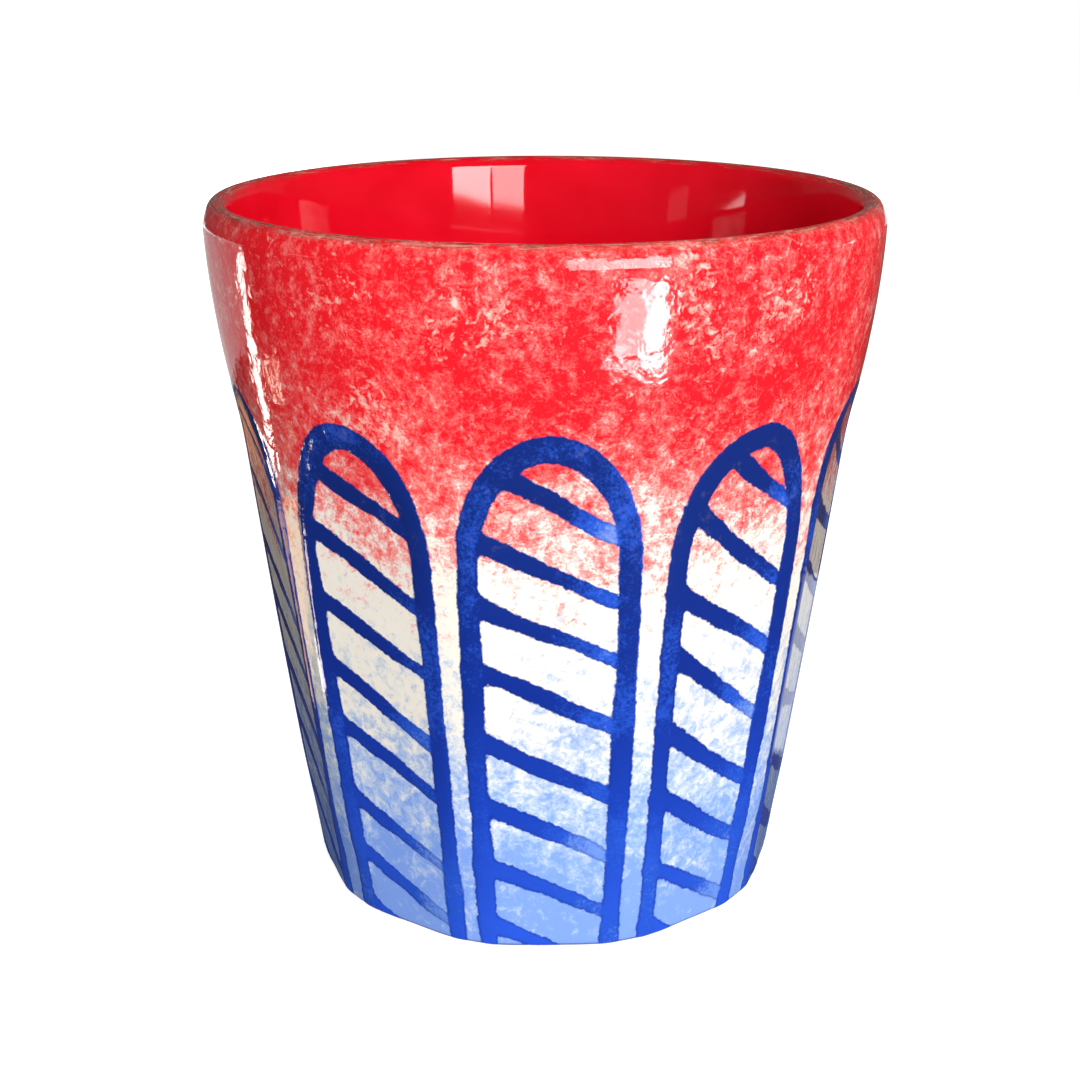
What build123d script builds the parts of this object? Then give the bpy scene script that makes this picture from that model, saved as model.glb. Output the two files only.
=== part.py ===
# A tapered drinking cup without handles: a plain round band over ten flats with arched tops.
# Millimetres, +Z up. The origin is on the ground in the middle of the foot, and one flat faces -Y.
from build123d import *
from math import pi, tan
import os

# The glazed cup from outside
cup_height = 95.0
rim_radius = 45.1
base_radius = 33.0
waist_height = 67.0  # where the ribs between the flats run into the round band
rib_bow = 0.5  # how far the ribs swell past the straight taper
band_bow = 0.7  # how far the band swells past it

# The wall and the floor
lip_thickness = 3.65
base_wall = 4.2  # from the middle of a flat to the inside, at the floor
floor_thickness = 6.0
floor_round = 7.0

# The flats
flat_count = 10
flat_inset = 0.8  # from the straight taper to the middle of a flat
scoop_drop = 7.6  # from the waist down to where a flat starts to curve out to its arch
scoop_radius = 67.0
scoop_turn = 24.0  # degrees, past where the arc has left the wall

# The foot
foot_round = 0.8
foot_width = 5.0  # from the recess under the cup out to the corners of the foot
recess_depth = 1.6

# The straight steps that stand in for a curve of the turned section
bow_steps = 3
lip_steps = 6
floor_steps = 4
foot_steps = 2

# The coats and the brushwork
coat = 0.35
bare_foot = 0.5  # height of the foot that is wiped clean of glaze
brush_relief = 0.12
outline_width = 2.6
outline_crest_share = 1.25  # how thick the crest is painted, of the legs' width
outline_share = 0.75  # of the way from the middle of a flat to the middle of the rib beside it
outline_spring_drop = 4.4  # from the start of the scoop down to where the outline's arch springs
outline_crest_rise = 4.4  # from the waist up to the crest of the outline
hatch_width = 2.2
hatch_count = 8
hatch_top_rise = 4.0  # from the start of the scoop up to where the highest stroke crosses the middle
hatch_fall = 27.0  # degrees below level, towards the right

overrun = 5.0  # how far a cutting solid reaches past what it cuts

rim_height = cup_height - lip_thickness / 2
taper_slope = (rim_radius - base_radius) / rim_height
inner_rim_radius = rim_radius - lip_thickness
recess_radius = base_radius - foot_width
floor_radius = base_radius + taper_slope * floor_thickness - flat_inset - base_wall
scoop_height = waist_height - scoop_drop
outline_spring_height = scoop_height - outline_spring_drop
outline_crest_height = waist_height + outline_crest_rise
hatch_top_height = scoop_height + hatch_top_rise
hatch_step = hatch_top_height / (hatch_count - 1)

front_flat = Plane(origin=(0, 0, 0), x_dir=(0, -1, 0), z_dir=(-1, 0, 0))  # X runs outwards, Y up


def taper_radius(height):
    """The straight taper from the foot to the rim, which the wall swells past."""
    return base_radius + taper_slope * height


def stepped(curve, steps):
    """A curve as straight steps, so that the solid turned from it stays light."""
    return Polyline([curve @ (number / steps) for number in range(steps + 1)])


def foot_curve(radius):
    """The rounded edge of the foot, from the ground out to a radius."""
    return stepped(TangentArc((radius - foot_round, 0), (radius, foot_round), tangent=(1, 0)), foot_steps)


def outside_line(inset):
    """The ribs and the band from above the foot to the rim, drawn in by inset from the glazed surface."""
    foot = (taper_radius(foot_round) - inset, foot_round)
    waist = (taper_radius(waist_height) - inset, waist_height)
    rim = (rim_radius - inset, rim_height)
    ribs = SagittaArc(foot, waist, -rib_bow)
    band = SagittaArc(waist, rim, -band_bow)
    return stepped(ribs, bow_steps) + stepped(band, bow_steps)


def flats(inset):
    """What the flats take off: up from the rounded foot along the taper, then out of the wall in an arc."""
    low = taper_radius(foot_round) - flat_inset - inset
    start = (taper_radius(scoop_height) - flat_inset - inset, scoop_height)
    foot = foot_curve(low)
    face = Line(foot @ 1, start)
    scoop = JernArc(start, face % 1, scoop_radius, -scoop_turn)
    outer = rim_radius + overrun
    top = (scoop @ 1).Y
    inner = low - overrun
    back = Polyline(scoop @ 1, (outer, top), (outer, -overrun), (inner, -overrun), (inner, 0), foot @ 0)
    one = extrude(front_flat * make_face([foot, face, scoop, back]), rim_radius, both=True)
    return PolarLocations(0, flat_count) * one


def turned(section):
    """The solid that a half section sweeps around the axis."""
    return revolve(Plane.XZ * section, Axis.Z)


def outside_block(inset):
    """The outside as one solid block, level with the rim."""
    line = outside_line(inset)
    foot = foot_curve((line @ 0).X)
    ends = Polyline(line @ 1, (0, rim_height), (0, 0), foot @ 0)
    return turned(make_face([foot, line, ends])) - flats(inset)


def floor_curve(inset):
    """The hollow's side from the rim down, its rounded corner and its floor as far as the middle."""
    rim = (inner_rim_radius + inset, rim_height)
    corner = (floor_radius + inset, floor_thickness - inset)
    line = Polyline(rim, corner, (0, floor_thickness - inset))
    side, round_corner, floor = fillet(line.vertices().sort_by_distance(corner)[0], floor_round).edges()
    return [Line(rim, round_corner @ 0), stepped(round_corner, floor_steps), Line(round_corner @ 1, floor @ 1)]


def cup_block(inset):
    """The cup with its hollow and its flats, drawn in by inset everywhere but under the foot."""
    line = outside_line(inset)
    foot = foot_curve((line @ 0).X)
    inner_rim = (inner_rim_radius + inset, rim_height)
    crest = (rim_radius - lip_thickness / 2, cup_height - inset)
    lip = stepped(ThreePointArc(line @ 1, crest, inner_rim), lip_steps)
    under = Polyline((0, floor_thickness - inset), (0, recess_depth), (recess_radius, recess_depth),
                     (recess_radius, 0), foot @ 0)
    section = make_face([foot, line, lip, *floor_curve(inset), under])
    return turned(section) - flats(inset)


def hollow_space():
    """All that lies inside the middle of the wall and floor. It parts the inner coat from the outer one."""
    middle_floor = floor_thickness / 2
    corners = [
        (0, middle_floor),
        (floor_radius + base_wall / 2, middle_floor),
        (rim_radius - lip_thickness / 2, rim_height),
        (rim_radius - lip_thickness / 2, cup_height + overrun),
        (0, cup_height + overrun),
    ]
    return turned(make_face(Polyline(corners, close=True)))


def under_slab(height):
    """Everything below a height, to trim a coat above the foot."""
    width = 2 * (rim_radius + overrun)
    top = Align.CENTER, Align.CENTER, Align.MAX
    return Pos(0, 0, height) * Box(width, width, height + overrun, align=top)


def arch_face(margin):
    """The field of one hoop, seen square to its flat and grown by margin. X is across, Y is up."""
    half_share = outline_share * tan(pi / flat_count)
    foot = half_share * base_radius + margin
    spring = half_share * taper_radius(outline_spring_height) + margin
    rise = outline_crest_height - outline_spring_height + outline_crest_share * margin
    top = EllipticalCenterArc((0, outline_spring_height), spring, rise, arc_size=180)
    legs = Polyline(top @ 1, (-foot, 0), (foot, 0), top @ 0)
    return make_face([top, legs])


def hatch_faces():
    """The slanted strokes of one hoop, from the highest down, cut to its field."""
    field = arch_face(-outline_width / 2)
    heights = [hatch_top_height - hatch_step * number for number in range(hatch_count)]
    bars = [
        Pos(0, height) * Rot(0, 0, -hatch_fall) * Rectangle(rim_radius, hatch_width)
        for height in heights
    ]
    return [bar & field for bar in bars]


def painted(face, raised, bare):
    """A stroke's face thrown onto the front flat as a layer of paint that stands on the glaze."""
    inner = Plane.XZ.offset(inner_rim_radius / 2)
    bar = extrude(inner * face, rim_radius)
    return (raised & bar) - bare - under_slab(bare_foot)


def all_round(solids):
    """Copies of the front flat's paint on every flat."""
    return [place * solid for place in PolarLocations(0, flat_count) for solid in solids]


def write(name, parts):
    """One sub-part to its own file."""
    solids = [solid for part in parts for solid in part.solids()]
    export_step(Compound(solids, label=name), f"parts/{name}.step")


os.makedirs("parts", exist_ok=True)

clay_body = cup_block(coat)
coats = cup_block(0) - clay_body
inner_side = hollow_space()
under_foot = Pos(0, 0, recess_depth - coat / 2) * Cylinder(recess_radius, coat)

bare_wall = outside_block(0)
raised_wall = outside_block(-brush_relief)
hoop = arch_face(outline_width / 2) - arch_face(-outline_width / 2)
outline = painted(hoop, raised_wall, bare_wall)
strokes = [painted(face, raised_wall, bare_wall) for face in hatch_faces()]

write("clay_body", [clay_body])
write("outer_glaze", [coats - inner_side - under_slab(bare_foot)])
write("liner_glaze", [coats & inner_side])
write("base_glaze", [under_foot])
write("arch_outlines", all_round([outline]))
write("hatch_strokes", all_round(strokes))
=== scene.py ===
"""The looks of a tapered ceramic cup: red inside, sponged red to cream to blue outside, with
arches painted in cobalt on ten flats. Lengths are in metres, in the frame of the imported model."""

import math

import bpy
import numpy as np
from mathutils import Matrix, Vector


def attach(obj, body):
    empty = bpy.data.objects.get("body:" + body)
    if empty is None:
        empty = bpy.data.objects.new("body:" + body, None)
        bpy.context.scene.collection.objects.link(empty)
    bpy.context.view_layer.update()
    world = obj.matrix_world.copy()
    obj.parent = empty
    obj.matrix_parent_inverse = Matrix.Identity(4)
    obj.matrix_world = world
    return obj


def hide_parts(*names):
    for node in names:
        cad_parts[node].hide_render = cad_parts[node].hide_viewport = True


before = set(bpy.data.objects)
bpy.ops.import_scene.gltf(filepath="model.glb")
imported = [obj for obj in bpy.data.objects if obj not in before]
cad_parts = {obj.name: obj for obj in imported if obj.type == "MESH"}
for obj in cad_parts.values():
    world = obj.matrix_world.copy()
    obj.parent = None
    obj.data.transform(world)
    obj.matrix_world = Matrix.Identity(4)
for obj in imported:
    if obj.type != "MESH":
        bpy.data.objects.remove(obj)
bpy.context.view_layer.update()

MM = 0.001

# The cup, as the solids have it
cup_height = 95.0 * MM
rim_radius = 45.1 * MM
base_radius = 33.0 * MM
waist_height = 67.0 * MM  # where the ribs between the flats run into the round band
rib_bow = 0.5 * MM
band_bow = 0.7 * MM
lip_thickness = 3.65 * MM
base_wall = 4.2 * MM
floor_thickness = 6.0 * MM
floor_round = 7.0 * MM
flat_count = 10
flat_inset = 0.8 * MM
scoop_height = 59.4 * MM  # where a flat starts to curve out to its arch
scoop_radius = 67.0 * MM
foot_round = 0.8 * MM
recess_radius = 28.0 * MM
recess_depth = 1.6 * MM
coat = 0.35 * MM

# What the glaze and the hand do to the form
bare_foot = 0.1 * MM  # how far up the clay shows under the glaze
waist_blend = 0.5 * MM  # how softly ribs and band run into each other
arris_blend = 0.22 * MM  # and ribs and flats
foot_blend = 0.5 * MM  # and ribs and flats at the foot
foot_wear = 0.25 * MM  # how far the ribs are rounded away towards the foot
wear_top = 16 * MM  # below here both the wear and the softer foot set in
bevel_low = 92.15 * MM  # where the outside turns in to the bevel under the lip
bevel_top = 94.0 * MM
bevel_turn = 0.35 * MM  # the height in which it turns
bevel_slope = 0.27  # how far it then leans in for each step up
bevel_radius = 10.0 * MM  # the bevel's own roundness
hand_wobble = 0.05 * MM
wobble_end = 15 * MM  # how far below the bevel the wobble starts to fade

# The mesh
columns = 600
clay_columns = 240
base_columns = 180
row_step = 1.0 * MM
scoop_row_step = 0.5 * MM
scoop_end = 7 * MM  # how far above the waist the rows stay close together
foot_rows = 3
bevel_rows = 8
lip_rows = 10
corner_rows = 12
side_rows = 40
nudge = 0.01 * MM  # a step too small to see

# The brushwork
paint_grid = 0.2 * MM
paint_reach = 12.6 * MM  # half the width of the grid
paint_foot = bare_foot + 0.1 * MM
paint_top = 75 * MM
paint_relief = 0.07 * MM
paint_rise = 0.7 * MM  # how far in from its edge the paint has its full relief
paint_clear = 0.004 * MM  # how far its very edge stands off the glaze
paint_sink = 0.15 * MM
paint_fringe = 0.12 * MM  # past the stroke's own edge, where the sponged colour still shows
pool_blend = 0.8 * MM  # how far paint pools where a stroke leaves the left leg
crisp_blend = 0.15 * MM  # and where it runs out at the right leg
outline_half = 1.38 * MM
crest_half = 1.75 * MM
crest_reach = 15 * MM  # from the crest to where the outline has the legs' width
hatch_half = 1.24 * MM
hatch_count = 8
hatch_points = 11
outline_wavers = [(0.18 * MM, 7 * MM), (0.1 * MM, 0.6 * MM)]  # by how much, and in what lumps
hatch_wavers = [(0.2 * MM, 3 * MM), (0.13 * MM, 0.55 * MM)]

# The glazes, and the heights between which the sponged colours fade in
glaze_roughness = 0.06
liner_roughness = 0.04
glaze_ior = 1.45
red_fade = 34 * MM, 80 * MM
white_fade = 36 * MM, 18 * MM
chip_fade = 44 * MM, 60 * MM
blue_fade = 54 * MM, 4 * MM
# painted shade: a dark blue line along the very foot, where the cup stands on the table
foot_shade_line = 0.8 * MM, 0.2 * MM

# The photograph's camera
camera_distance = 240.63 * MM
camera_height = 126.48 * MM
camera_pitch = 0.3219  # radians, down from level
camera_turn = 0.0211  # radians, round to the left
lens = 59.68
sensor = 36.0
shift_x = -0.0046

# The light, as a radiance: 1 is as bright as white. Room and table are in metres, turns in degrees.
world_light = 0.24
floor_glow = 0.88
floor_half = 4.0
cup_middle = (0, 0, 0.06)
room_radius = 1.3
room_height = 1.6
room_step = 30

rim_height = cup_height - lip_thickness / 2
lip_radius = rim_radius - lip_thickness / 2
taper_slope = (rim_radius - base_radius) / rim_height
inner_rim_radius = rim_radius - lip_thickness
floor_radius = base_radius + taper_slope * floor_thickness - flat_inset - base_wall
hollow_lean = math.atan2(inner_rim_radius - floor_radius, rim_height - floor_thickness)


# ---- small tools ----

def noise(x, y, cell, seed):
    """Smooth random values from -1 to 1 over a plane, in lumps about one cell wide."""
    size = 64
    lattice = np.random.default_rng(seed).uniform(-1, 1, (size, size))
    column, row = np.floor(x / cell).astype(int), np.floor(y / cell).astype(int)
    u, v = x / cell - column, y / cell - row
    u, v = u * u * (3 - 2 * u), v * v * (3 - 2 * v)
    column, row, right, above = column % size, row % size, (column + 1) % size, (row + 1) % size
    near = lattice[column, row] * (1 - u) + lattice[right, row] * u
    far = lattice[column, above] * (1 - u) + lattice[right, above] * u
    return near * (1 - v) + far * v


def smooth_min(a, b, blend):
    """The smaller of two lengths, with the corner between them rounded over."""
    share = np.clip(0.5 + 0.5 * (b - a) / blend, 0, 1)
    return b * (1 - share) + a * share - blend * share * (1 - share)


def smooth_step(low, high, value):
    """0 at low, 1 at high, and an even S between them."""
    share = np.clip((value - low) / (high - low), 0, 1)
    return share * share * (3 - 2 * share)


# ---- the form ----

def taper_radius(height):
    """The straight taper from the foot to the rim, which the wall swells past."""
    return base_radius + taper_slope * height


def bowed(height, low, high, bow):
    """The taper between two heights, swelling past it by bow in the middle."""
    share = (height - low) / (high - low)
    return taper_radius(height) + 4 * bow * share * (1 - share)


def wall_radius(height):
    """The ribs and the round band, without the flats."""
    ribs = bowed(height, 0, waist_height, rib_bow)
    band = bowed(height, waist_height, rim_height, band_bow)
    return -smooth_min(-ribs, -band, waist_blend)


def flat_distance(height):
    """From the axis to the middle of a flat, which curves out of the wall above scoop_height."""
    slope = math.atan(taper_slope)
    straight = taper_radius(height) - flat_inset
    centre_radius = taper_radius(scoop_height) - flat_inset + scoop_radius * math.cos(slope)
    centre_height = scoop_height - scoop_radius * math.sin(slope)
    rise = np.clip(height - centre_height, 0, scoop_radius)
    scoop = centre_radius - np.sqrt(scoop_radius**2 - rise**2)
    return np.where(height > scoop_height, scoop, straight)


def wobble(turn, height):
    """The slight unevenness of a shape made by hand."""
    waves = np.sin(2 * turn + 1.0) * 0.5 + np.sin(3 * turn + height / (19 * MM)) * 0.3
    return hand_wobble * (waves + np.sin(7 * turn - height / (11 * MM) + 2.0) * 0.2 - 1)


def bevel_lean(height):
    """How far the bevel under the lip draws in: quickly into its slope, then along a round."""
    up = np.maximum(height - bevel_low, 0)
    into = np.minimum(up, bevel_turn)
    return bevel_slope * (into**2 / (2 * bevel_turn) + up - into) + up**2 / (2 * bevel_radius)


def outside_radius(turn, height):
    """The glazed outside. turn is in radians from the middle of the front flat."""
    pitch = 2 * math.pi / flat_count
    off = (turn + pitch / 2) % pitch - pitch / 2
    height = np.maximum(height, foot_round)
    blend = arris_blend + (foot_blend - arris_blend) * smooth_step(wear_top, 0, height)
    ribs = wall_radius(height) - foot_wear * smooth_step(wear_top, 0.4 * wear_top, height)
    radius = smooth_min(ribs, flat_distance(height) / np.cos(off), blend)
    radius = radius - bevel_lean(height)
    return radius + wobble(turn, height) * smooth_step(bevel_low, bevel_low - wobble_end, height)


def foot_pull(height):
    """How far the rounded foot draws in below foot_round."""
    low = np.clip((foot_round - height) / foot_round, 0, 1)
    return foot_round * (1 - np.sqrt(1 - low**2))


# ---- meshes ----

def around(turn, radius, height):
    """Points at a turn from the front flat's middle."""
    radius, height = np.broadcast_arrays(radius, height)
    return np.stack([radius * np.sin(turn), -radius * np.cos(turn), height], axis=-1)


def new_piece(name, points, faces, sharp=30):
    """A smooth mesh in the scene, with edges sharp where they turn by more than sharp degrees."""
    mesh = bpy.data.meshes.new(name)
    mesh.from_pydata([tuple(p) for p in points], [], faces)
    mesh.validate()
    mesh.shade_smooth()
    mesh.set_sharp_from_angle(angle=math.radians(sharp))
    piece = bpy.data.objects.new(name, mesh)
    bpy.context.collection.objects.link(piece)
    return piece


def lathe(name, rings, count=columns):
    """A closed skin through rings of count points. A ring of radius None is a pole on the axis.
    With no poles, the last ring joins the first."""
    turn = np.arange(count) * 2 * math.pi / count
    points, rows = [], []
    for radius, height in rings:
        start = len(points)
        if radius is None:
            points.append((0, 0, height))
            rows.append([start] * count)
        else:
            values = radius(turn) if callable(radius) else np.full(count, radius)
            points.extend(around(turn, values, height))
            rows.append(list(range(start, start + count)))
    if rings[0][0] is not None:
        rows.append(rows[0])
    faces = []
    for low, high in zip(rows, rows[1:]):
        for i in range(count):
            j = (i + 1) % count
            corners = [low[i], low[j], high[j], high[i]]
            faces.append([c for n, c in enumerate(corners) if c not in corners[:n]])
    return new_piece(name, points, faces)


def outside_heights(inset, low, step, scoop_step):
    """Row heights up the outside, closer together where the flats curve out and on the bevel."""
    foot = list(np.linspace(low, foot_round, foot_rows + 1))[:-1] if low < foot_round else []
    lower = np.arange(foot_round, scoop_height - step, step)
    scoop = np.arange(scoop_height - step, waist_height + scoop_end, scoop_step)
    upper = np.arange(waist_height + scoop_end, bevel_low - step / 2, step)
    bevel = np.linspace(bevel_low, bevel_top - 0.6 * inset, 1 + bevel_rows)
    return [*foot, *lower, *scoop[:-1], *upper, *bevel]


def outside_rings(inset, low, step, scoop_step):
    """The outside drawn in by inset, from a height low up to the top of the bevel."""
    def ring(height):
        return lambda turn: outside_radius(turn, height) - foot_pull(height) - inset
    return [(ring(height), height) for height in outside_heights(inset, low, step, scoop_step)]


def outer_lip_rings(inset):
    """From the bevel to the crest of the lip, on an ellipse that carries the bevel's slope on."""
    bevel = outside_radius(0, np.array([bevel_top - nudge, bevel_top]))
    width = bevel[1] - lip_radius
    rise = cup_height - bevel_top
    steep = (bevel[0] - bevel[1]) / nudge * rise / width
    start = math.asin(steep / (1 - steep))
    across, up = width / math.cos(start) - inset, rise / (1 - math.sin(start)) - inset
    middle = cup_height - inset - up
    angles = np.linspace(start, math.pi / 2, lip_rows + 1)
    return [(lip_radius + across * math.cos(a), middle + up * math.sin(a)) for a in angles]


def inner_lip_rings(inset):
    """From the crest of the lip down to where it runs into the side of the hollow."""
    half = lip_thickness / 2 - inset
    angles = np.linspace(0, math.pi / 2 - hollow_lean, lip_rows + 1)
    return [(lip_radius - half * math.sin(a), rim_height + half * math.cos(a)) for a in angles]


def hollow_rings(inset, rows):
    """Down the inside, round the corner and over the floor to the pole in the middle."""
    rim = np.array(inner_lip_rings(inset)[-1])
    corner = np.array([floor_radius + inset, floor_thickness - inset])
    lean = math.atan2(rim[0] - corner[0], rim[1] - corner[1])
    reach = floor_round * math.tan((math.pi / 2 - lean) / 2)
    down = (corner - rim) / np.linalg.norm(corner - rim)
    wall_end = corner - reach * down
    centre = np.array([corner[0] - reach, corner[1] + floor_round])
    side = [rim + (wall_end - rim) * share for share in np.linspace(0, 1, rows + 1)][1:]
    angles = np.linspace(-lean, -math.pi / 2, corner_rows + 1)[1:]
    bend = [centre + floor_round * np.array([math.cos(a), math.sin(a)]) for a in angles]
    floor = [np.array([bend[-1][0] * share, corner[1]]) for share in (0.75, 0.5, 0.25)]
    return [*[(p[0], p[1]) for p in side + bend + floor], (None, corner[1])]


def make_outer_glaze():
    """The coat on the outside and over the lip to its crest, with its hidden back."""
    shown = outside_rings(0, bare_foot, row_step, scoop_row_step)
    over = outer_lip_rings(0)[1:]
    back = outer_lip_rings(coat)[::-1]
    hidden = outside_rings(coat, bare_foot, 4 * row_step, 2 * scoop_row_step)[::-1]
    return lathe("outer_glaze_coat", [*shown, *over, *back, *hidden[1:]])


def make_liner():
    """The coat on the inside, down from the crest of the lip, with its hidden back."""
    shown = [*inner_lip_rings(0), *hollow_rings(0, side_rows)]
    hidden = [*inner_lip_rings(coat), *hollow_rings(coat, side_rows // 2)]
    return lathe("liner_glaze_coat", [*shown[::-1], *hidden])


def make_clay():
    """The body just under its coats, with the bare foot ring and the recess under the floor."""
    inset = coat + nudge
    chamfer = 0.2 * MM
    under = [
        (None, recess_depth),
        (recess_radius - chamfer, recess_depth),
        (recess_radius, recess_depth - chamfer),
        (recess_radius, chamfer),
        (recess_radius + chamfer, 0),
    ]
    outside = outside_rings(inset, 0, 4 * row_step, 2 * scoop_row_step)
    lip = [*outer_lip_rings(inset)[1:], *inner_lip_rings(inset)[1:]]
    rings = [*under, *outside, *lip, *hollow_rings(inset, side_rows // 2)]
    return lathe("clay_foot_and_wall", rings, clay_columns)


def make_base_glaze():
    """A thin round pool in the recess under the foot."""
    low, high = recess_depth - coat / 2, recess_depth + 2 * nudge
    edge, roll = recess_radius - 0.3 * MM, 0.3 * MM
    under = [(None, low), (edge / 2, low), (edge - roll, low), (edge, low + 0.05 * MM)]
    over = [(edge, high), (edge / 2, high), (None, high)]
    return lathe("base_glaze_pool", [*under, *over], base_columns)


# ---- the brushwork ----

class Hoop:
    """One painted arch. Feet, springs and crest are places across and up its flat, in millimetres,
    and each stroke is the height where it leaves the left leg and where it meets the right one."""

    def __init__(self, feet, springs, crest, spring_height, strokes, seed):
        self.feet, self.springs, self.crest = feet, springs, crest
        self.spring_height, self.strokes, self.seed = spring_height, strokes, seed

    def side(self, which, height):
        """How far across the outline runs at a height, on side 0 or 1."""
        foot, spring = self.feet[which], self.springs[which]
        if height <= self.spring_height:
            return spring + (foot - spring) * (1 - height / self.spring_height) ** 1.3
        share = min((height - self.spring_height) / (self.crest[1] - self.spring_height), 1)
        return self.crest[0] + (spring - self.crest[0]) * math.sqrt(1 - share**2)


front = Hoop((-8.1, 7.8), (-10.15, 9.5), (-0.33, 71.3), 56.5,
             [(67.9, 59.2), (59.9, 50.5), (51.4, 42.3), (42.2, 33.4),
              (32.4, 23.0), (22.7, 13.7), (13.0, 5.3), (3.9, -3.5)], 1)
left = Hoop((-7.1, 8.1), (-9.1, 9.1), (-0.6, 70.7), 55.0,
            [(66.2, 58.9), (57.8, 48.8), (47.9, 40.0), (38.8, 29.6),
             (29.6, 21.8), (19.0, 11.0), (10.4, 2.8), (2.0, -5.0)], 2)
right = Hoop((-7.5, 6.3), (-9.5, 9.5), (1.3, 70.4), 55.0,
             [(68.9, 59.5), (62.4, 48.6), (51.9, 39.2), (43.4, 29.6),
              (32.4, 20.0), (22.4, 11.6), (11.4, 1.9), (2.0, -6.0)], 3)


def free_hoop(number):
    """An arch on a flat that the photograph hides, painted in the same hand."""
    highest, step = 67.6, 9.15  # where the first stroke starts, and from each to the next
    rng = np.random.default_rng(100 + number)
    lean = rng.uniform(-0.5, 0.5)
    strokes = []
    for row in range(hatch_count):
        start = highest - row * step + rng.uniform(-0.7, 0.7)
        strokes.append((start, start - rng.uniform(7.4, 9.6)))
    feet = (-7.9 + lean / 2, 7.7 + lean / 2)
    springs = (-9.8 + lean, 9.6 + lean)
    crest = (lean + rng.uniform(-0.8, 0.8), rng.uniform(70.5, 71.4))
    return Hoop(feet, springs, crest, rng.uniform(55, 57), strokes, 200 + number)


def to_lines(points, x, z):
    """How far each grid point is from a run of points, and how far along its nearest place is."""
    points = np.asarray(points) * MM
    best = np.full(x.shape, 1.0)
    along = np.zeros(x.shape)
    count = len(points) - 1
    for number, (a, b) in enumerate(zip(points, points[1:])):
        run = b - a
        share = np.clip(((x - a[0]) * run[0] + (z - a[1]) * run[1]) / (run @ run), 0, 1)
        distance = np.hypot(x - a[0] - share * run[0], z - a[1] - share * run[1])
        nearer = distance < best
        best = np.where(nearer, distance, best)
        along = np.where(nearer, (number + share) / count, along)
    return best, along


def outline_points(hoop):
    """Up the left leg, over the arch and down the right leg."""
    legs = np.linspace(0, hoop.spring_height, 12)
    rise = hoop.crest[1] - hoop.spring_height
    arch = hoop.spring_height + rise * np.sin(np.linspace(0, math.pi / 2, 14))[1:]
    up = [*legs, *arch]
    return [(hoop.side(0, h), h) for h in up] + [(hoop.side(1, h), h) for h in up[-2::-1]]


def wavering(half, wavers, seeds, x, z):
    """A half width that wavers over the flat."""
    for (amount, cell), seed in zip(wavers, seeds):
        half = half + amount * noise(x, z, cell, seed)
    return half


def outline_field(hoop, x, z):
    """How far each place is outside the outline's paint, below 0 in it."""
    distance, _ = to_lines(outline_points(hoop), x, z)
    crest = smooth_step(crest_reach, 0, np.abs(z - hoop.crest[1] * MM))
    half = outline_half + (crest_half - outline_half) * crest
    return distance - wavering(half, outline_wavers, (hoop.seed, hoop.seed + 1), x, z)


def stroke_line(hoop, start, end, sag, wave):
    """The middle of a stroke from the left leg to the right one, slightly bent."""
    start_x, end_x = hoop.side(0, start), hoop.side(1, max(end, 0))
    return [(start_x + (end_x - start_x) * s,
             start + (end - start) * s + sag * 4 * s * (1 - s) + wave * math.sin(2 * math.pi * s))
            for s in np.linspace(0, 1, hatch_points)]


def stroke_fields(hoop, x, z):
    """How far each place is outside the strokes' paint, below 0 in it, and how dry it is there."""
    rng = np.random.default_rng(hoop.seed)
    strokes = np.full(x.shape, 1.0)
    dryness = np.zeros(x.shape)
    for number, (start, end) in enumerate(hoop.strokes):
        sag, wave = rng.uniform(-0.35, 0.35), rng.uniform(-0.3, 0.3)
        distance, share = to_lines(stroke_line(hoop, start, end, sag, wave), x, z)
        half = hatch_half * (1.1 - rng.uniform(0.1, 0.4) * share)
        seeds = (hoop.seed + 10 + number, hoop.seed + 30 + number)
        distance = distance - wavering(half, hatch_wavers, seeds, x, z)
        dry = rng.uniform(0.25, 0.95) * smooth_step(0.25, 1.0, share)
        dryness = np.where(distance < strokes, dry, dryness)
        strokes = np.minimum(strokes, distance)
    return strokes, dryness


def paint_fields(hoop, x, z):
    """Over a flat's grid: depth in the paint, depth in the outline alone, and how watery it is."""
    outline = outline_field(hoop, x, z)
    strokes, dryness = stroke_fields(hoop, x, z)
    towards_right = smooth_step(-6 * MM, 3 * MM, x)
    both = smooth_min(outline, strokes, pool_blend + (crisp_blend - pool_blend) * towards_right)
    wash = 0.18 + 0.25 * noise(x, z, 9 * MM, hoop.seed + 2)
    beyond = smooth_step(-0.5 * MM, 0.4 * MM, outline)
    wash = wash * (1 - beyond) + (dryness + 0.1 * wash) * beyond
    return -both, -outline, np.clip(wash, 0, 1)


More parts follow.
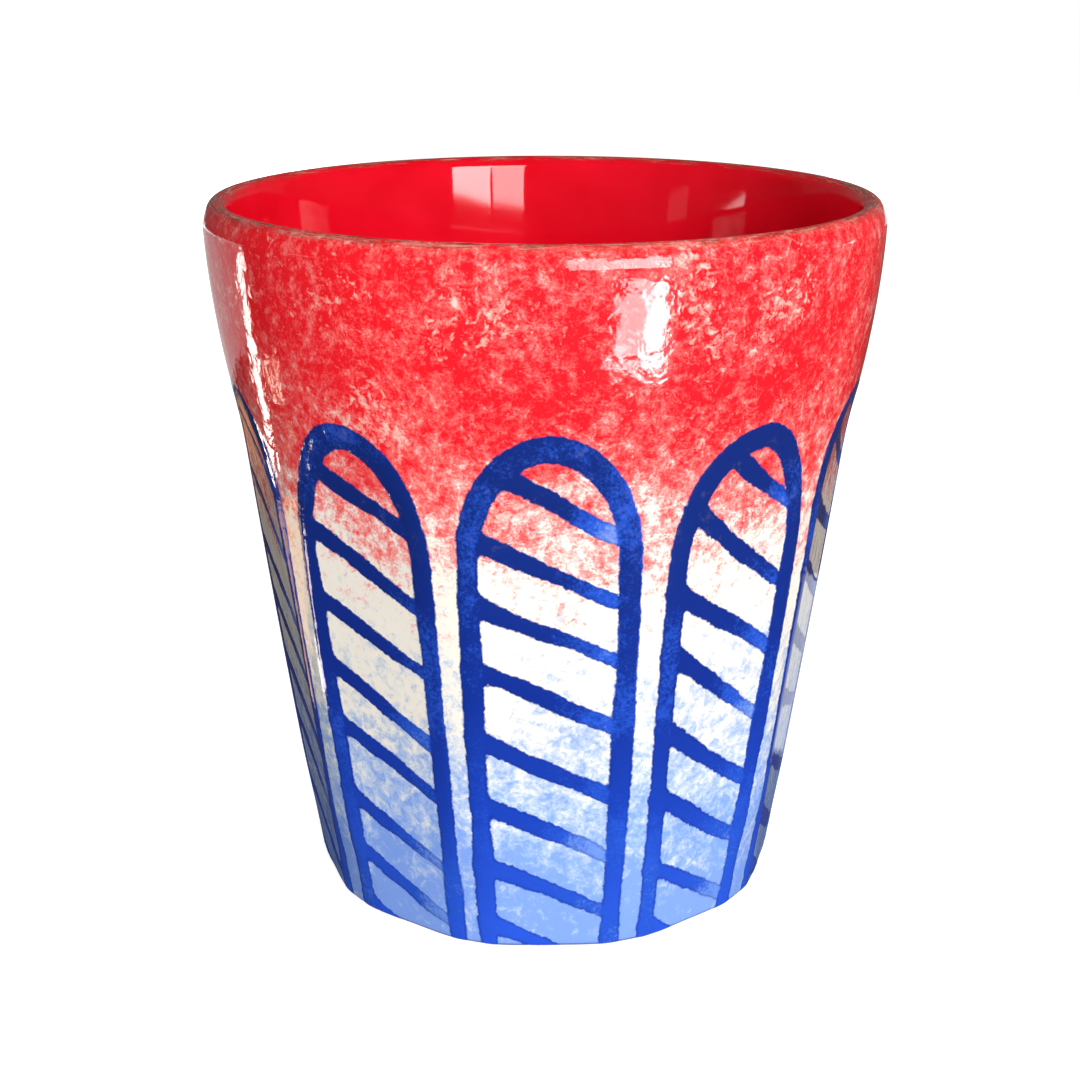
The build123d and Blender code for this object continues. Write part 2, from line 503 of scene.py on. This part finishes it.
def paint_sheets(hoop, place):
    """The outline's and the strokes' cells on one flat's grid, whose border is pulled onto the
    edge of the paint."""
    across = np.arange(-paint_reach, paint_reach, paint_grid)
    up = np.arange(paint_foot, paint_top, paint_grid)
    x, z = np.meshgrid(across, up, indexing="ij")
    depth, inside_outline, wash = paint_fields(hoop, x, z)
    slope_x, slope_z = np.gradient(depth, paint_grid)
    steep = np.maximum(np.hypot(slope_x, slope_z), 0.3)
    pull = np.where(depth < -paint_fringe, (-paint_fringe - depth) / steep**2, 0)
    pull = np.clip(pull, 0, 1.5 * paint_grid)
    far_x, far_z = x + pull * slope_x, np.maximum(z + pull * slope_z, paint_foot)
    corner_in = depth > -paint_fringe
    cell = corner_in[:-1, :-1] | corner_in[1:, :-1] | corner_in[:-1, 1:] | corner_in[1:, 1:]
    outline_cell = cell & (inside_outline[:-1, :-1] > 0)
    depth = np.maximum(depth, -paint_fringe)
    wall = wall_radius(far_z)
    out = np.minimum(flat_distance(far_z), np.sqrt(np.maximum(wall**2 - far_x**2, 0)))
    turn = np.arctan2(far_x, out) + place * 2 * math.pi / flat_count
    surface = outside_radius(turn, far_z) - foot_pull(far_z)
    lift = paint_relief * smooth_step(-paint_fringe, paint_rise, depth) + paint_clear
    top = around(turn, surface + lift, far_z)
    bottom = around(turn, surface - paint_sink, far_z)
    return [(part, top, bottom, depth, wash) for part in (outline_cell, cell & ~outline_cell)]


def closed_sheet(cells, top, bottom):
    """Points and faces of a closed sheet over the marked cells of a grid."""
    rows, cols = cells.shape
    number = np.arange((rows + 1) * (cols + 1)).reshape(rows + 1, cols + 1)
    i, j = np.nonzero(cells)
    quads = [number[i, j], number[i + 1, j], number[i + 1, j + 1], number[i, j + 1]]
    quads = np.stack(quads, axis=1)
    padded = np.pad(cells, 1)
    sides = []
    corners = [(0, 0), (1, 0), (1, 1), (0, 1)]
    for side, (di, dj) in enumerate(((0, -1), (1, 0), (0, 1), (-1, 0))):
        a, b = corners[side], corners[(side + 1) % 4]
        open_side = ~padded[i + 1 + di, j + 1 + dj]
        si, sj = i[open_side], j[open_side]
        sides.append(np.stack([number[si + a[0], sj + a[1]], number[si + b[0], sj + b[1]]], axis=1))
    sides = np.concatenate(sides)
    used, packed = np.unique(quads, return_inverse=True)
    packed = packed.reshape(quads.shape)
    count = len(used)
    edge = np.searchsorted(used, sides)
    walls = np.stack([edge[:, 1], edge[:, 0], edge[:, 0] + count, edge[:, 1] + count], axis=1)
    faces = np.concatenate([packed, packed[:, ::-1] + count, walls])
    points = np.concatenate([top.reshape(-1, 3)[used], bottom.reshape(-1, 3)[used]])
    return points, faces, used


def make_paint():
    """Two pieces: all the arches' outlines, and all the strokes inside them."""
    hoops = {0: front, -1: left, 1: right}
    kinds = ([], [])
    for place in range(-1, flat_count - 1):
        hoop = hoops.get(place) or free_hoop(place)
        for kind, (cells, top, bottom, depth, wash) in zip(kinds, paint_sheets(hoop, place)):
            points, faces, used = closed_sheet(cells, top, bottom)
            kind.append((points, faces, depth.ravel()[used], wash.ravel()[used]))
    pieces = []
    for name, sheets in zip(("arch_outline_paint", "hatch_stroke_paint"), kinds):
        offsets = np.cumsum([0] + [len(points) for points, *_ in sheets])
        points = np.concatenate([points for points, *_ in sheets])
        faces = np.concatenate([faces + offset for (_, faces, *_), offset in zip(sheets, offsets)])
        piece = new_piece(name, points, faces.tolist(), sharp=50)
        for label, place in (("depth", 2), ("wash", 3)):
            values = np.concatenate([np.tile(sheet[place], 2) for sheet in sheets])
            layer = piece.data.attributes.new(label, "FLOAT", "POINT")
            layer.data.foreach_set("value", values / MM if label == "depth" else values)
        pieces.append(piece)
    return pieces


# ---- materials ----

def colour(code):
    """A linear colour from its usual hexadecimal code."""
    parts = [int(code[i:i + 2], 16) / 255 for i in (1, 3, 5)]
    return (*[p / 12.92 if p <= 0.04045 else ((p + 0.055) / 1.055) ** 2.4 for p in parts], 1)


class Tree:
    """Short calls for a node tree. An input may be a number, a colour or another node's output."""

    def __init__(self, tree):
        self.tree = tree

    def add(self, kind, inputs=None, **settings):
        node = self.tree.nodes.new(kind)
        for key, value in settings.items():
            setattr(node, key, value)
        for key, value in (inputs or {}).items():
            if isinstance(value, bpy.types.NodeSocket):
                self.tree.links.new(value, node.inputs[key])
            else:
                node.inputs[key].default_value = value
        return node

    def math(self, operation, *values):
        return self.add("ShaderNodeMath", dict(enumerate(values)), operation=operation).outputs[0]

    def sum(self, *terms):
        """Noises about their middle of 0.5, each times its weight, all added up."""
        total = 0.0
        for value, weight in terms:
            part = self.math("MULTIPLY", self.math("SUBTRACT", value, 0.5), weight)
            total = self.math("ADD", total, part)
        return total

    def noise(self, where, size, detail=3, roughness=0.55, distortion=0.0, across=None):
        """Noise from 0 to 1 in lumps of a size in metres, which may vary with a fourth length."""
        inputs = {"Vector": where, "Scale": 1 / size, "Detail": detail,
                  "Roughness": roughness, "Distortion": distortion}
        settings = {}
        if across is not None:
            inputs["W"] = across
            settings["noise_dimensions"] = "4D"
        return self.add("ShaderNodeTexNoise", inputs, **settings).outputs["Fac"]

    def ramp(self, value, stops):
        node = self.add("ShaderNodeValToRGB", {"Fac": value})
        elements = node.color_ramp.elements
        while len(elements) < len(stops):
            elements.new(0.5)
        for element, (position, code) in zip(elements, stops):
            element.position = position
            element.color = colour(code)
        return node.outputs["Color"]

    def span(self, value, low, high, to_low=0.0, to_high=1.0, smooth=True):
        """The value's way from low to high, turned into a way from to_low to to_high."""
        inputs = {"Value": value, "From Min": low, "From Max": high,
                  "To Min": to_low, "To Max": to_high}
        kind = "SMOOTHSTEP" if smooth else "LINEAR"
        return self.add("ShaderNodeMapRange", inputs, interpolation_type=kind).outputs["Result"]

    def mix(self, share, a, b, blend="MIX"):
        node = self.add("ShaderNodeMix", data_type="RGBA", blend_type=blend)
        factor, first, second = node.inputs["Factor"], node.inputs[6], node.inputs[7]
        for socket, value in ((factor, share), (first, a), (second, b)):
            if isinstance(value, bpy.types.NodeSocket):
                self.tree.links.new(value, socket)
            else:
                socket.default_value = colour(value) if isinstance(value, str) else value
        return node.outputs[2]

    def place(self):
        return self.add("ShaderNodeTexCoord").outputs["Object"]


def new_material(name):
    """An empty material, and its tree."""
    material = bpy.data.materials.new(name)
    material.use_nodes = True
    material.node_tree.nodes.clear()
    return material, Tree(material.node_tree)


def finish_material(tree, **inputs):
    """The shader with the given inputs, whose names have _ for a space."""
    named = {key.replace("_", " "): value for key, value in inputs.items()}
    shader = tree.add("ShaderNodeBsdfPrincipled", named)
    tree.add("ShaderNodeOutputMaterial", {"Surface": shader.outputs[0]})


def hairs(tree, where, size, width):
    """1 along thin crooked lines that wander through the ground, 0 away from them."""
    ridge = tree.math("ABSOLUTE", tree.math("SUBTRACT", tree.noise(where, size, 3, 0.6, 0.6), 0.5))
    return tree.span(ridge, width, 0, smooth=False)


def red_sponging(tree, where, shifted, height, grain):
    """Red dabs over cream, denser upwards, with pale chips in clusters."""
    pebble = tree.noise(where, 0.95 * MM, 1, 0.5)
    red = tree.sum((tree.noise(where, 9 * MM, 1, 0.5), 0.55),
                   (tree.noise(where, 2.4 * MM, 4, 0.7), 1.55),
                   (pebble, 0.75), (grain, 0.5))
    red = tree.math("ADD", red, tree.span(height, *red_fade, -0.42, 0.9))
    pale_hairs = tree.math("MULTIPLY", hairs(tree, shifted, 3.1 * MM, 0.035), 0.22)
    red = tree.math("SUBTRACT", red, pale_hairs)
    shade = tree.ramp(red, [(0.0, "#fdf6e9"), (0.13, "#ffe4db"), (0.32, "#ffaaa4"),
                            (0.55, "#ff706c"), (0.78, "#ff474b"), (1.0, "#fa1e2a")])
    cluster = tree.span(tree.noise(where, 10 * MM, 2, 0.5), 0.5, 0.7, 0.0, 0.16)
    chip = tree.math("ADD", tree.noise(where, 1.0 * MM, 3, 0.6, 0.5), cluster)
    chip = tree.span(chip, 0.64, 0.86, 0.0, 0.9, smooth=False)
    shade = tree.mix(tree.math("MULTIPLY", chip, tree.span(height, *chip_fade)), shade, "#ffdfcf")
    return tree.mix(tree.span(height, *white_fade), shade, "#fefcf7")


def blue_sponging(tree, where, shifted, height, grain):
    """Blue dabs that close up towards the foot, to be multiplied onto the ground."""
    blue = tree.sum((tree.noise(shifted, 1.6 * MM, 5, 0.7, 0.5), 2.6), (grain, 0.3),
                    (tree.noise(shifted, 7 * MM, 1), 0.7))
    blue = tree.math("ADD", blue, tree.span(height, *blue_fade, -0.36, 1.08, smooth=False))
    dark_hairs = tree.math("MULTIPLY", hairs(tree, where, 2.3 * MM, 0.03), 0.16)
    blue = tree.math("ADD", blue, dark_hairs)
    return tree.ramp(blue, [(0.0, "#ffffff"), (0.25, "#e8f1ff"), (0.55, "#bcd3ff"),
                            (0.85, "#97baff"), (1.0, "#88aeff")])


def sponge_group():
    """The sponged ground by place alone: red above, cream between, blue below, and a painted shade
    line along the very foot.
    """
    group = bpy.data.node_groups.new("sponged_ground", "ShaderNodeTree")
    group.interface.new_socket("Color", in_out="OUTPUT", socket_type="NodeSocketColor")
    tree = Tree(group)
    where = tree.place()
    elsewhere = {0: where, 1: (0.31, 0.17, 0.05)}
    shifted = tree.add("ShaderNodeVectorMath", elsewhere, operation="ADD").outputs[0]
    height = tree.add("ShaderNodeSeparateXYZ", {"Vector": where}).outputs["Z"]
    grain = tree.noise(where, 0.3 * MM, 2, 0.6)
    red = red_sponging(tree, where, shifted, height, grain)
    blue = blue_sponging(tree, where, shifted, height, grain)
    both = tree.mix(1.0, red, blue, "MULTIPLY")
    # painted shade: darker blue along the very foot, where the cup stands on the table
    both = tree.mix(tree.span(height, *foot_shade_line, 0.0, 0.85), both, "#23428c")
    tree.add("NodeGroupOutput", {"Color": both})
    return group


def lip_wear_and_shade(tree, where, shade, reach):
    """Brown streaks along the lip, from reach below its crest: worn glaze with the clay showing
    through, with painted shade in the dark browns and a painted highlight in the pale ones.
    """
    parts = tree.add("ShaderNodeSeparateXYZ", {"Vector": where}).outputs
    squares = [tree.math("MULTIPLY", parts[axis], parts[axis]) for axis in "XY"]
    radius = tree.math("SQRT", tree.math("ADD", *squares))
    streak = tree.noise(where, 5 * MM, 5, 0.7, 0.0, tree.math("MULTIPLY", radius, 7.0))
    tone = tree.noise(where, 3 * MM, 4, 0.7, 0.0, tree.math("MULTIPLY", radius, 12.0))
    crest = tree.span(parts["Z"], cup_height - reach, cup_height - 0.05 * MM)
    # the dark browns are painted shade and the pale browns a painted highlight, over clay showing
    # through the worn glaze
    bare = tree.ramp(tone, [(0.36, "#5c2318"), (0.5, "#a05a48"), (0.64, "#e3b59e")])
    wear_and_shade_share = tree.math("MULTIPLY", crest, tree.span(streak, 0.4, 0.6, 0.0, 0.85))
    return tree.mix(wear_and_shade_share, shade, bare)


def bump(tree, height, strength=1.0, distance=1.0):
    """The normal of a surface that a height raises."""
    inputs = {"Height": height, "Strength": strength, "Distance": distance}
    return tree.add("ShaderNodeBump", inputs).outputs["Normal"]


def glaze_bump(tree, where, swelling=0.1 * MM, relief=0.065 * MM):
    """The slight unevenness of a fired glaze over what lies under it."""
    swell = tree.math("MULTIPLY", tree.noise(where, 9 * MM, 2, 0.4), swelling)
    dimple = tree.math("MULTIPLY", tree.noise(where, 2.2 * MM, 1, 0.4, 0.8), relief)
    ragged = tree.math("MULTIPLY", tree.noise(where, 0.45 * MM, 1), 0.15 * relief)
    return bump(tree, tree.math("ADD", tree.math("ADD", swell, dimple), ragged))


def outer_material(sponge):
    """The sponged outside, with worn glaze, painted shade and a painted highlight in streaks along
    the lip.
    """
    material, tree = new_material("sponged_outer_glaze")
    where = tree.place()
    ground = tree.add("ShaderNodeGroup", node_tree=sponge).outputs["Color"]
    finish_material(tree, Base_Color=lip_wear_and_shade(tree, where, ground, 1.1 * MM),
                    Roughness=glaze_roughness, IOR=glaze_ior, Normal=glaze_bump(tree, where))
    return material


def liner_material():
    """The plain red inside, nearly flat, because it mirrors the window without breaking it up."""
    material, tree = new_material("red_liner_glaze")
    where = tree.place()
    shade = tree.ramp(tree.noise(where, 14 * MM, 3), [(0.3, "#e8081e"), (0.7, "#fa142d")])
    finish_material(tree, Base_Color=lip_wear_and_shade(tree, where, shade, 0.7 * MM),
                    Roughness=liner_roughness, IOR=glaze_ior,
                    Normal=glaze_bump(tree, where, 0.0015 * MM, 0.0003 * MM))
    return material


def paint_material(sponge):
    """Cobalt that is deep where the brush was full, and lighter, with the ground showing, where it
    ran dry."""
    material, tree = new_material("cobalt_brushwork")
    where = tree.place()
    ground = tree.add("ShaderNodeGroup", node_tree=sponge).outputs["Color"]
    depth = tree.add("ShaderNodeAttribute", attribute_name="depth").outputs["Fac"]
    wash = tree.add("ShaderNodeAttribute", attribute_name="wash").outputs["Fac"]
    height = tree.add("ShaderNodeSeparateXYZ", {"Vector": where}).outputs["Z"]
    fine = tree.noise(where, 0.45 * MM, 3, 0.7)
    broad = tree.noise(where, 2.2 * MM, 4, 0.65)

    dry = tree.math("ADD", wash, tree.sum((fine, 0.8), (broad, 0.6)))
    thin = tree.math("ADD", dry, tree.span(height, 30 * MM, 2 * MM, 0.0, 0.25))
    strong = tree.ramp(tree.span(height, 3 * MM, 62 * MM, smooth=False),
                       [(0.0, "#2c5ade"), (0.3, "#1a42b8"), (0.6, "#113093"), (1.0, "#112b7a")])
    cobalt = tree.mix(tree.span(thin, 0.2, 0.6), strong, "#2858d0")
    cobalt = tree.mix(tree.span(thin, 0.55, 1.0), cobalt, "#6f97ea")

    high_up = tree.span(height, 50 * MM, 66 * MM, 0.0, 0.4)
    fleck = tree.math("MULTIPLY", tree.span(broad, 0.56, 0.7), high_up)
    cobalt = tree.mix(fleck, cobalt, "#5b5a78")
    cobalt = tree.mix(tree.span(depth, 0.5, 0.1, 0.0, 0.4), cobalt, "#102d80")

    bare = tree.math("MULTIPLY", tree.span(dry, 0.8, 1.4), 0.4)
    cover = tree.span(tree.math("ADD", depth, tree.sum((fine, 0.5))), -0.1, 0.16)
    cover = tree.math("MULTIPLY", cover, tree.math("SUBTRACT", 1.0, bare))
    finish_material(tree, Base_Color=tree.mix(cover, ground, cobalt),
                    Roughness=glaze_roughness, IOR=glaze_ior, Normal=glaze_bump(tree, where))
    return material


def clay_material():
    """Pale unglazed clay with a fine grain."""
    material, tree = new_material("fired_clay_body")
    speckle = tree.noise(tree.place(), 0.5 * MM, 4, 0.7)
    shade = tree.ramp(speckle, [(0.3, "#d9c8ae"), (0.6, "#efe3cf"), (0.75, "#f6eddd")])
    grain = bump(tree, speckle, 0.4, 0.05 * MM)
    finish_material(tree, Base_Color=shade, Roughness=0.8, Normal=grain)
    return material


def cream_material():
    """The cream glaze under the foot."""
    material, tree = new_material("cream_base_glaze")
    where = tree.place()
    shade = tree.ramp(tree.noise(where, 6 * MM, 3), [(0.3, "#f6efdf"), (0.7, "#fffaf0")])
    finish_material(tree, Base_Color=shade, Roughness=0.15, Normal=glaze_bump(tree, where))
    return material


# ---- putting it together ----

def dress(piece, material, slot, *nodes):
    """Give a piece its material, and let it stand in for the solids' nodes. slot is not used."""
    piece.data.materials.append(material)
    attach(piece, "root")
    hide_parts(*nodes)


sponge = sponge_group()
cobalt = paint_material(sponge)
outline_paint, hatch_paint = make_paint()
dress(make_clay(), clay_material(), "fired_clay", "clay_body")
dress(make_outer_glaze(), outer_material(sponge), "sponged_glaze", "outer_glaze")
dress(make_liner(), liner_material(), "red_glaze", "liner_glaze")
dress(make_base_glaze(), cream_material(), "cream_glaze", "base_glaze")
dress(outline_paint, cobalt, "cobalt_paint", "arch_outlines")
dress(hatch_paint, cobalt, "cobalt_paint", "hatch_strokes")


# ---- floor, light and camera ----

def seen_or_mirrored(tree):
    """1 for rays from the camera, off gloss and through glass, and 0 for rays that light things."""
    path = tree.add("ShaderNodeLightPath").outputs
    either = tree.math("MAXIMUM", path["Is Camera Ray"], path["Is Glossy Ray"])
    return tree.math("MAXIMUM", either, path["Is Transmission Ray"])


def stage_sheet(name, corners, material):
    """A flat stage piece through its corners in turn."""
    mesh = bpy.data.meshes.new(name)
    mesh.from_pydata(corners, [], [tuple(range(len(corners)))])
    sheet = bpy.data.objects.new(name, mesh)
    mesh.materials.append(material)
    bpy.context.collection.objects.link(sheet)
    return sheet


def make_floor():
    """A pale floor whose own light, for what sees it, takes it up to white outside the shadow."""
    material, tree = new_material("pale_floor")
    diffuse = tree.add("ShaderNodeBsdfDiffuse", {"Color": (0.5, 0.5, 0.5, 1)})
    strength = tree.math("MULTIPLY", seen_or_mirrored(tree), floor_glow)
    glow = tree.add("ShaderNodeEmission", {"Color": (1, 1, 1, 1), "Strength": strength})
    both = tree.add("ShaderNodeAddShader", {0: diffuse.outputs[0], 1: glow.outputs[0]})
    tree.add("ShaderNodeOutputMaterial", {"Surface": both.outputs[0]})
    ends = ((-1, -1), (1, -1), (1, 1), (-1, 1))
    stage_sheet("floor", [(x * floor_half, y * floor_half, 0) for x, y in ends], material)


def make_flag(name, corners, shade, glow=0.0):
    """A card that only gloss sees. It keeps the glaze's colours deep or, where it glows, lights a
    streak on it."""
    material, tree = new_material(name)
    finish_material(tree, Base_Color=colour("#000000" if glow else shade), Roughness=0.9,
                    Emission_Color=colour(shade), Emission_Strength=glow)
    flag = stage_sheet(name, corners, material)
    flag.visible_camera = flag.visible_diffuse = False
    flag.visible_shadow = flag.visible_transmission = False


def floor_arc(radius, start, end, height, count=24):
    """Points over the floor, from one turn to the right of the front to another."""
    return [towards(turn, 0, radius, (0, 0, height)) for turn in np.linspace(start, end, count)]


def floor_band(outer, inner, start, end, height, count=24):
    """Corners of a band on the floor between two radii and two turns."""
    back = floor_arc(inner, end, start, height, count)
    return [*floor_arc(outer, start, end, height, count), *back]


def upright(foot, height):
    """Corners of a sheet that stands on two points of the floor."""
    return foot + [(x, y, height) for x, y, _ in foot[::-1]]


def make_flags():
    """The table top with what lies and shines on it, the dim room all round, and its ceiling. Each
    band has a name, its outer and inner radius, two turns, a height, a shade and a glow."""
    low, middle, high = 0.4 * MM, 0.8 * MM, 1.6 * MM  # apart, so that the upper one is seen
    table = [*floor_arc(1.28, -112, 150, low), *floor_arc(0.26, 195, 240, low)]
    make_flag("table_flag", table, "#4a423e")
    bands = [
        ("pale_mat_flag", 0.125, 0.05, 105, 155, middle, "#e8ecf4", 0.65),
        ("brown_table_flag", 0.24, 0.09, 193, 214, high, "#c4956e", 1.0),
        ("dark_table_flag", 0.09, 0.042, 188, 225, high, "#3a2c26", 1.0),
        ("warm_table_flag", 0.16, 0.07, 243, 262, high, "#ffc890", 2.6),
        ("grey_mat_flag", 0.7, 0.26, 190, 243, middle, "#f4e8e8", 0.7),
    ]
    for name, outer, inner, start, end, height, shade, glow in bands:
        make_flag(name, floor_band(outer, inner, start, end, height), shade, glow)
    edge = [*floor_arc(0.5, 243, 246.5, high, 4), *floor_arc(0.175, 247.5, 243, high, 4)]
    make_flag("sunlit_edge", edge, "#fff4ea", 12.0)
    for turn in (254, 259):
        patch = [*floor_arc(0.23, turn, turn + 1.5, high, 3),
                 *floor_arc(0.185, turn + 2.5, turn, high, 3)]
        make_flag(f"sunlit_patch_{turn}", patch, "#ffdcc0", 9.0)
    make_flag("sunlit_near_edge", floor_band(0.14, 0.08, 271, 277.5, high, 4), "#fff0f0", 10.0)
    for turn in range(-165, 166, room_step):
        foot = floor_arc(room_radius, turn - room_step / 2, turn + room_step / 2, 0, 2)
        shade = "#56504c" if abs(turn) < 120 else "#8c8580"
        make_flag(f"room_flag_{turn}", upright(foot, room_height), shade)
    ends = [(-1.5, -1.5), (1.5, -1.5), (1.5, 1.2), (-1.5, 1.2)]
    make_flag("ceiling_flag", [(x, y, room_height) for x, y in ends], "#5d5854")


def make_dark_wall():
    """A dark wall to the left, out of the picture, that keeps the light off that side."""
    material, tree = new_material("dark_wall")
    finish_material(tree, Base_Color=colour("#2e2723"), Roughness=0.9)
    wall = stage_sheet("dark_wall", upright([(-0.2, -0.08, 0), (-0.2, 0.2, 0)], 0.5), material)
    wall.visible_camera = wall.visible_glossy = False


def make_world():
    """White where it is seen or mirrored, and dim where it lights things."""
    world = bpy.data.worlds.new("studio")
    world.use_nodes = True
    world.node_tree.nodes.clear()
    tree = Tree(world.node_tree)
    strength = tree.span(seen_or_mirrored(tree), 0, 1, world_light, 1.0, smooth=False)
    background = tree.add("ShaderNodeBackground", {"Color": (1, 1, 1, 1), "Strength": strength})
    tree.add("ShaderNodeOutputWorld", {"Surface": background.outputs[0]})
    bpy.context.scene.world = world


def towards(turn, rise, distance, start=cup_middle):
    """The place at a turn to the right of the front and a rise above level, from a start."""
    turn, rise = math.radians(turn), math.radians(rise)
    level = distance * math.cos(rise)
    return (start[0] + level * math.sin(turn), start[1] - level * math.cos(turn),
            start[2] + distance * math.sin(rise))


def area_light(name, place, target, width, height, radiance, diffuse, gloss):
    """A rectangle that shines with a radiance, where 1 is as bright as white."""
    data = bpy.data.lights.new(name, "AREA")
    data.shape = "RECTANGLE"
    data.size, data.size_y = width, height
    data.energy = radiance * width * height * math.pi
    light = bpy.data.objects.new(name, data)
    light.location = place
    light.rotation_euler = (Vector(place) - Vector(target)).to_track_quat("Z", "Y").to_euler()
    light.visible_camera = False
    light.visible_diffuse, light.visible_glossy = diffuse, gloss
    bpy.context.collection.objects.link(light)


def make_lights():
    """The window's two panes, fills that gloss doesn't see, and glints that only gloss sees. Each
    has a name, a turn, a rise, a distance, a width, a height and a radiance."""
    panes = [
        ("window_pane_near", 29.3, 20.95, 0.9, 0.245, 0.33, 15.8),
        ("window_pane_far", 14, 21.05, 0.9, 0.2, 0.33, 10.6),
    ]
    fills = [
        ("side_fill", 75, 10, 1.2, 1.2, 0.4, 1.8),
        ("front_fill", -16, 2, 0.7, 0.8, 0.14, 4.8),
        ("back_fill", 170, 5, 0.8, 1.2, 0.26, 5.5),
        ("left_back_fill", -152, 6, 0.8, 0.7, 0.26, 5.5),
    ]
    band_glints = [
        ("sill_glint_bright", 36.5, -19.5, 0.16, 0.022, 0.049, 28),
        ("sill_glint_dim", 27, -19.5, 0.16, 0.032, 0.049, 12),
        ("sill_glint_low", 23.5, -26.5, 0.16, 0.024, 0.014, 10),
    ]
    hollow_glints = [
        ("far_pane_112", 112, 2.5, 0.8, 0.05, 0.014, 34),
        ("far_pane_105.5", 105.5, 2.3, 0.8, 0.07, 0.014, 4),
        ("far_pane_-80.5", -80.5, 5.4, 0.8, 0.25, 0.015, 6),
        ("far_pane_-58", -58, 7.6, 0.8, 0.12, 0.02, 0.5),
    ]
    band, hollow = (0.011, -0.043, 0.084), (0, 0, 0.085)
    groups = [(panes, cup_middle, True, True), (fills, cup_middle, True, False),
              (band_glints, band, False, True), (hollow_glints, hollow, False, True)]
    for lamps, target, diffuse, gloss in groups:
        for name, turn, rise, distance, width, height, radiance in lamps:
            place = towards(turn, rise, distance, target)
            area_light(name, place, target, width, height, radiance, diffuse, gloss)


def make_camera():
    """The photograph's camera, to the left of the front by camera_turn and looking at the axis."""
    data = bpy.data.cameras.new("camera")
    data.lens, data.sensor_width, data.shift_x = lens, sensor, shift_x
    data.clip_start = 0.01
    camera = bpy.data.objects.new("camera", data)
    camera.location = (-camera_distance * math.sin(camera_turn),
                       -camera_distance * math.cos(camera_turn), camera_height)
    camera.rotation_euler = (math.pi / 2 - camera_pitch, 0, -camera_turn)
    bpy.context.collection.objects.link(camera)
    bpy.context.scene.camera = camera


make_floor()
make_world()
make_flags()
make_dark_wall()
make_lights()
make_camera()
bpy.context.scene.view_settings.view_transform = "Standard"
